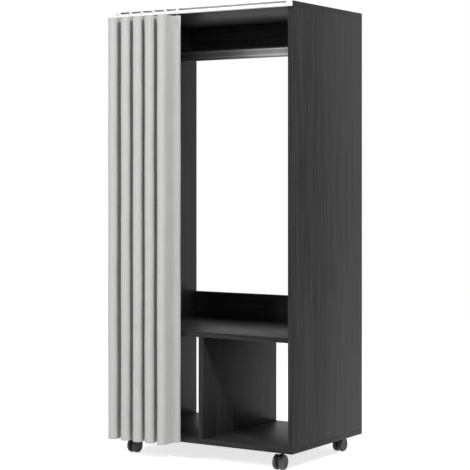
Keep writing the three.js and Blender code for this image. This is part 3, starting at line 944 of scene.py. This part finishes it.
# Header tape on the cloth's back, and the stitches
TAPE_DROP = 3.0 * MM
TAPE_WIDTH = 22.0 * MM
TAPE_HALF = 0.25 * MM
TAPE_ROWS = 12
STITCH = 2.3 * MM
STITCH_PITCH = 3.2 * MM
THREAD = 0.5 * MM
SEAM_INSET = 1.5 * MM
SEAM_END = 1.5 * STITCH
SIDE_SEAM = (6.0 * MM, CLOTH_LENGTH - 3.0 * MM, 160)
THREAD_SMOOTH = 60.0


def make_tape(fold):
    drops = [TAPE_DROP + TAPE_WIDTH * row / TAPE_ROWS for row in range(TAPE_ROWS + 1)]
    name = f"curtain_fold_{fold + 1}_tape"
    mesh = layer_mesh(name, fold, drops, (-1.0, TAPE_HALF), (-1.0, 3 * TAPE_HALF))
    return hang(mesh, TAPE)


def stitch_tree():
    """Stitches of one size, set one pitch apart along the edges of a mesh."""
    group = bpy.data.node_groups.new("stitches", "GeometryNodeTree")
    face = group.interface
    face.new_socket("Seams", in_out="INPUT", socket_type="NodeSocketGeometry")
    for name in ("Pitch", "Length", "Thickness"):
        face.new_socket(name, in_out="INPUT", socket_type="NodeSocketFloat")
    face.new_socket("Thread", in_out="INPUT", socket_type="NodeSocketMaterial")
    face.new_socket("Stitches", in_out="OUTPUT", socket_type="NodeSocketGeometry")
    tree = Tree(group)
    given = tree.add("NodeGroupInput")
    seam = tree.add("GeometryNodeMeshToCurve", {}, {"Mesh": given["Seams"]})
    spacing = {"Curve": seam, "Length": given["Pitch"]}
    places = tree.add("GeometryNodeResampleCurve", {"mode": "LENGTH"}, spacing)
    ball = tree.add("GeometryNodeMeshUVSphere", {}, {"Segments": 6, "Rings": 5, "Radius": 0.5})
    thick = given["Thickness"]
    size = tree.add("ShaderNodeCombineXYZ", {}, {"X": thick, "Y": thick, "Z": given["Length"]})
    stitch = tree.add("GeometryNodeTransform", {}, {"Geometry": ball, "Scale": size})
    along = tree.add("GeometryNodeInputTangent")
    turn = tree.add("FunctionNodeAlignRotationToVector", {"axis": "Z"}, {"Vector": along})
    set_out = {"Points": places, "Instance": stitch, "Rotation": turn}
    stitches = tree.add("GeometryNodeInstanceOnPoints", {}, set_out)
    solid = tree.add("GeometryNodeRealizeInstances", {}, {"Geometry": stitches})
    threaded = {"Geometry": solid, "Material": given["Thread"]}
    finished = tree.add("GeometryNodeSetMaterial", {}, threaded)
    tree.feed(tree.nodes.new("NodeGroupOutput").inputs["Stitches"], finished)
    return group


def seam_lines(fold):
    """Lines of points on the cloth's front: along the tape and the hem, and down the side hems."""
    seams = []
    tape_seams = TAPE_DROP + SEAM_INSET, TAPE_DROP + TAPE_WIDTH - SEAM_INSET
    for drop in (*tape_seams, CLOTH_LENGTH - HEM + SEAM_INSET):
        points, along = cloth_side(fold, drop, 1.0)
        seams.append(points[from_edge(fold, along) > SEAM_END])
    if fold in (0, FOLDS - 1):
        edge_hem = SIDE_HEM - SEAM_INSET
        down = []
        for drop in np.linspace(*SIDE_SEAM):
            points, along = cloth_side(fold, drop, 1.0)
            place = edge_hem if fold == 0 else along[-1] - edge_hem
            down.append([np.interp(place, along, points[:, axis]) for axis in range(3)])
        seams.append(np.array(down))
    return seams


def make_stitches(fold, tree):
    bm = bmesh.new()
    for seam in seam_lines(fold):
        corners = [bm.verts.new(p) for p in seam]
        for first, second in zip(corners, corners[1:]):
            bm.edges.new((first, second))
    lines = bpy.data.meshes.new("seam_lines")
    bm.to_mesh(lines)
    bm.free()
    seams = linked("seam_lines", lines)
    modifier = seams.modifiers.new("stitches", "NODES")
    modifier.node_group = tree
    wanted = {"Pitch": STITCH_PITCH, "Length": STITCH, "Thickness": THREAD, "Thread": SEWING_THREAD}
    for item in tree.interface.items_tree:
        if item.in_out == "INPUT" and item.name in wanted:
            modifier[item.identifier] = wanted[item.name]
    mesh = plain_mesh(seams, f"curtain_fold_{fold + 1}_stitches")
    bpy.data.objects.remove(seams)
    smooth(mesh, THREAD_SMOOTH)
    return hang(mesh, SEWING_THREAD)


# Casters. Each piece is drawn about the stem's axis with the floor at 0.
CORNERS = ("front_left", "front_right", "rear_left", "rear_right")
WHEEL_RADIUS = 25.0 * MM
WHEEL_INNER, WHEEL_OUTER = 6.5 * MM, 19.0 * MM
FACE_RADIUS = 20.5 * MM
TREAD_END = 14.0 * MM
TREAD_EASE, TREAD_MIDDLE = 1.0 * MM, 0.3 * MM

# The dish in a wheel's face: its rim's and its cap's radius, and its depth. Then its soft edges,
# and the dimple in the cap: its two radii and its depth
DISH = (16.5 * MM, 8.0 * MM, 1.2 * MM)
DISH_EASE = 0.35 * MM
DIMPLE = (2.2 * MM, 1.6 * MM, 0.5 * MM)
AXLE_RADIUS, AXLE_HALF = 3.0 * MM, 15.0 * MM
HOOD_GAP, HOOD_WALL, HOOD_REACH = 1.0 * MM, 1.8 * MM, 16.0 * MM
HOOD_CUT, HOOD_TILT = 8.0 * MM, math.radians(20.0)
WEB_HALF, WEB_RADIUS = 6.1 * MM, 13.0 * MM
TRAIL = 16.0 * MM
PIN_RADIUS, PIN_LENGTH = 4.0 * MM, 22.0 * MM
COLLAR_RADIUS, COLLAR_HEIGHT = 5.5 * MM, 9.0 * MM
INSERT_WALL = 1.7 * MM
UNDERSIDE = bottom_low.z
STEEL_EASE = 0.4 * MM
AXLE_PLACE = Matrix.Translation((0.0, -TRAIL, WHEEL_RADIUS))
WHEEL_AROUND, ROD_AROUND, HOOD_AROUND, PIN_AROUND = 96, 64, 128, 48
WHEEL_SMOOTH, HOUSING_SMOOTH = 25.0, 30.0


def on_axle(side=1.0):
    """Turns what is drawn about Z so that it lies about the wheels' axle."""
    return AXLE_PLACE @ Matrix.Rotation(math.radians(90.0) * side, 4, "Y")


def shoulder(offset, end, steps=10):
    """The round from the tread to the outer face, set off by a distance for the hood."""
    across, fall = WHEEL_OUTER - TREAD_END + offset, WHEEL_RADIUS - FACE_RADIUS + offset
    points = []
    for i in range(steps + 1):
        out = (end - TREAD_END) * math.sin(math.pi * i / (2 * steps))
        drop = math.sqrt(max(1 - (out / across) ** 2, 0.0))
        points.append((FACE_RADIUS + fall * drop, TREAD_END + out))
    return points


def wheel_mesh(side):
    rim, cap, depth = DISH
    face, floor = WHEEL_OUTER, WHEEL_OUTER - depth
    bore = AXLE_RADIUS + FIT
    soft = DISH_EASE
    profile = [(0.0, AXLE_HALF + FIT), (bore, AXLE_HALF + FIT), (bore, WHEEL_INNER)]
    profile += [(WHEEL_RADIUS - TREAD_EASE, WHEEL_INNER)]
    profile += [(WHEEL_RADIUS - TREAD_MIDDLE, WHEEL_INNER + TREAD_MIDDLE)]
    profile += [(WHEEL_RADIUS, WHEEL_INNER + TREAD_EASE)] + shoulder(0.0, face)
    profile += [(rim + soft, face), (rim, face - 0.3 * soft), (rim - soft, face - soft)]
    profile += [(rim - 2 * soft, floor + 0.5 * soft), (rim - 3.5 * soft, floor)]
    profile += [(cap + 2 * soft, floor), (cap, floor + soft), (cap - soft, face - soft)]
    profile += [(cap - 2 * soft, face), (DIMPLE[0], face), (DIMPLE[1], face - DIMPLE[2])]
    profile += [(0.0, face - DIMPLE[2])]
    return revolve("wheel", profile, WHEEL_AROUND, on_axle(side), WHEEL_SMOOTH)


def rod(name, radius, low, high, place):
    profile = [(0.0, low), (radius, low), (radius, high), (0.0, high)]
    return revolve(name, profile, ROD_AROUND, place)


def housing_mesh():
    outer = shoulder(HOOD_GAP + HOOD_WALL, HOOD_REACH, 5)
    inner = shoulder(HOOD_GAP, HOOD_REACH, 5)
    profile = [(r, -x) for r, x in reversed(outer)] + outer
    profile += inner[::-1] + [(r, -x) for r, x in inner]
    shell = revolve("hood_shell", profile + profile[:1], HOOD_AROUND, on_axle())
    lift = Matrix.Translation((0.0, 0.0, HOOD_CUT + BIG / 2))
    tilt = AXLE_PLACE @ Matrix.Rotation(-HOOD_TILT, 4, "X") @ lift
    rib_top = WHEEL_RADIUS + HOOD_GAP + HOOD_WALL / 2
    rib_place = AXLE_PLACE @ Matrix.Translation((0.0, (TRAIL - WEB_RADIUS) / 2, rib_top / 2))
    boss_top = UNDERSIDE - COLLAR_HEIGHT - FIT
    pin_bottom = UNDERSIDE - COLLAR_HEIGHT - PIN_LENGTH
    upright = Matrix.Identity(4)
    return combine("housing", shell, [
        ("INTERSECT", bar("hood_part", (BIG, BIG, BIG), tilt)),
        ("UNION", rod("web", WEB_RADIUS, -WEB_HALF, WEB_HALF, on_axle())),
        ("UNION", bar("rib", (2 * WEB_HALF, TRAIL + WEB_RADIUS, rib_top), rib_place)),
        ("UNION", rod("boss", WEB_HALF, WHEEL_RADIUS, boss_top, upright)),
        ("DIFFERENCE", rod("pin_bore", PIN_RADIUS + FIT, pin_bottom - FIT, BIG, upright)),
        ("DIFFERENCE", rod("axle_hole", AXLE_RADIUS + FIT, -BIG, BIG, on_axle())),
    ], HOUSING_SMOOTH)


def stem_mesh(thread_top, thread_radius):
    collar = UNDERSIDE - COLLAR_HEIGHT
    profile = [(0.0, collar - PIN_LENGTH), (PIN_RADIUS - STEEL_EASE, collar - PIN_LENGTH)]
    profile += [(PIN_RADIUS, collar - PIN_LENGTH + STEEL_EASE), (PIN_RADIUS, collar)]
    profile += [(COLLAR_RADIUS - STEEL_EASE, collar), (COLLAR_RADIUS, collar + STEEL_EASE)]
    profile += [(COLLAR_RADIUS, UNDERSIDE), (thread_radius, UNDERSIDE)]
    profile += [(thread_radius, thread_top - STEEL_EASE), (thread_radius - STEEL_EASE, thread_top)]
    return revolve("stem", profile + [(0.0, thread_top)], PIN_AROUND)


def insert_mesh(low, high, radius):
    bore = radius - INSERT_WALL
    profile = [(bore, low), (radius, low), (radius, high - STEEL_EASE), (radius - STEEL_EASE, high)]
    profile += [(bore, high), (bore, low)]
    return revolve("insert", profile, PIN_AROUND)


def axle_mesh():
    reach, tip = AXLE_HALF - STEEL_EASE, AXLE_RADIUS - STEEL_EASE
    profile = [(0.0, -AXLE_HALF), (tip, -AXLE_HALF), (AXLE_RADIUS, -reach), (AXLE_RADIUS, reach)]
    profile += [(tip, AXLE_HALF), (0.0, AXLE_HALF)]
    return revolve("axle", profile, PIN_AROUND, on_axle())


def make_casters():
    stem_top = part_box("front_left_stem")[1].z
    low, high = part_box("front_left_insert")
    radius = (high.x - low.x) / 2
    left, right = wheel_mesh(-1.0), wheel_mesh(1.0)
    stem, insert = stem_mesh(stem_top, radius - INSERT_WALL), insert_mesh(low.z, high.z, radius)
    parts = [
        ("wheel_left", "moulding", left, WHEEL_PLASTIC, "wheel_plastic", "{}_wheel_left"),
        ("wheel_right", "moulding", right, WHEEL_PLASTIC, "wheel_plastic", "{}_wheel_right"),
        ("housing", "moulding", housing_mesh(), BLACK_PLASTIC, "black_plastic", "{}_caster"),
        ("axle", "pin", axle_mesh(), ZINC, "fastener_steel", "{}_caster"),
        ("stem", "turning", stem, BLACK_STEEL, "stem_steel", "cabinet"),
        ("insert", "sleeve", insert, ZINC, "fastener_steel", "cabinet"),
    ]
    for corner in CORNERS:
        low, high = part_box(f"{corner}_stem")
        place = Matrix.Translation(((low.x + high.x) / 2, (low.y + high.y) / 2, 0.0))
        for part, form, mesh, finish, slot, body in parts:
            node = f"{corner}_{part}"
            copy = mesh.copy()
            copy.transform(place)
            copy.name = f"{node}_{form}"
            make_piece(copy.name, copy, finish, body.format(corner), [node])


make_camera()
make_carcass()
make_clothes_rail()
for side in ("left", "right"):
    make_socket(side)
make_track()
stitches = stitch_tree()
for fold in range(FOLDS):
    make_fold(fold, stitches)
make_casters()


# Studio. What is seen of the world and the floor is brighter than the light that they give.
WORLD_SEEN, WORLD_LIGHT = 1.0, 0.30
FLOOR_GLOW = 0.74
FLOOR_RADIUS, FLOOR_AROUND = 6.0, 96
FLOOR_FADE = (2.0, 5.5)

# Each light's place, side and power, and the point that they are turned to
LEFT_KEY = ((-1.5, -4.2, 3.2), 2.0, 125.0)
RIGHT_KEY = ((3.9, -2.4, 4.2), 0.8, 205.0)
LIT_POINT = Vector((0.0, 0.0, 0.8))


def make_world():
    world = bpy.data.worlds.new("studio")
    bpy.context.scene.world = world
    world.use_nodes = True
    tree = Tree(world.node_tree)
    first = tree.nodes["Background"]
    tree.feed(first.inputs["Color"], WHITE)
    tree.feed(first.inputs["Strength"], WORLD_SEEN)
    light = tree.add("ShaderNodeBackground", {}, {"Color": WHITE, "Strength": WORLD_LIGHT})
    ends = {0: tree.seen(), 1: light, 2: Value(tree, first.outputs[0])}
    mixed = tree.add("ShaderNodeMixShader", {}, ends)
    tree.feed(tree.nodes["World Output"].inputs["Surface"], mixed)


def make_floor():
    bm = bmesh.new()
    bmesh.ops.create_circle(bm, cap_ends=True, segments=FLOOR_AROUND, radius=FLOOR_RADIUS)
    mesh = mesh_from("floor", bm)
    floor = linked("floor", mesh)
    finish = Finish("floor_white")
    finish.set(base_color=grey(0.86), roughness=0.9)
    plain = Value(finish, finish.shader.outputs[0])
    glow = finish.add("ShaderNodeEmission", {}, {"Color": WHITE, "Strength": FLOOR_GLOW})
    lit = finish.add("ShaderNodeAddShader", {}, {0: plain, 1: glow})
    shown = finish.add("ShaderNodeMixShader", {}, {0: finish.seen(), 1: plain, 2: lit})
    place = finish.add("ShaderNodeTexCoord")["Object"]
    reach = finish.add("ShaderNodeVectorMath", {"operation": "LENGTH"}, {0: place})["Value"]
    clear = finish.add("ShaderNodeBsdfTransparent")
    ends = {0: finish.fade(reach, *FLOOR_FADE), 1: shown, 2: clear}
    edge = finish.add("ShaderNodeMixShader", {}, ends)
    finish.feed(finish.nodes["Material Output"].inputs["Surface"], edge)
    mesh.materials.append(finish.material)


def softbox(name, place, side, power):
    data = bpy.data.lights.new(name, "AREA")
    data.shape = "RECTANGLE"
    data.size = data.size_y = side
    data.energy = power
    lamp = linked(name, data)
    lamp.location = place
    lamp.visible_glossy = False
    lamp.rotation_euler = (LIT_POINT - Vector(place)).to_track_quat("-Z", "Y").to_euler()


make_world()
make_floor()
softbox("left_key", *LEFT_KEY)
softbox("right_key", *RIGHT_KEY)
bpy.context.scene.view_settings.view_transform = "Standard"
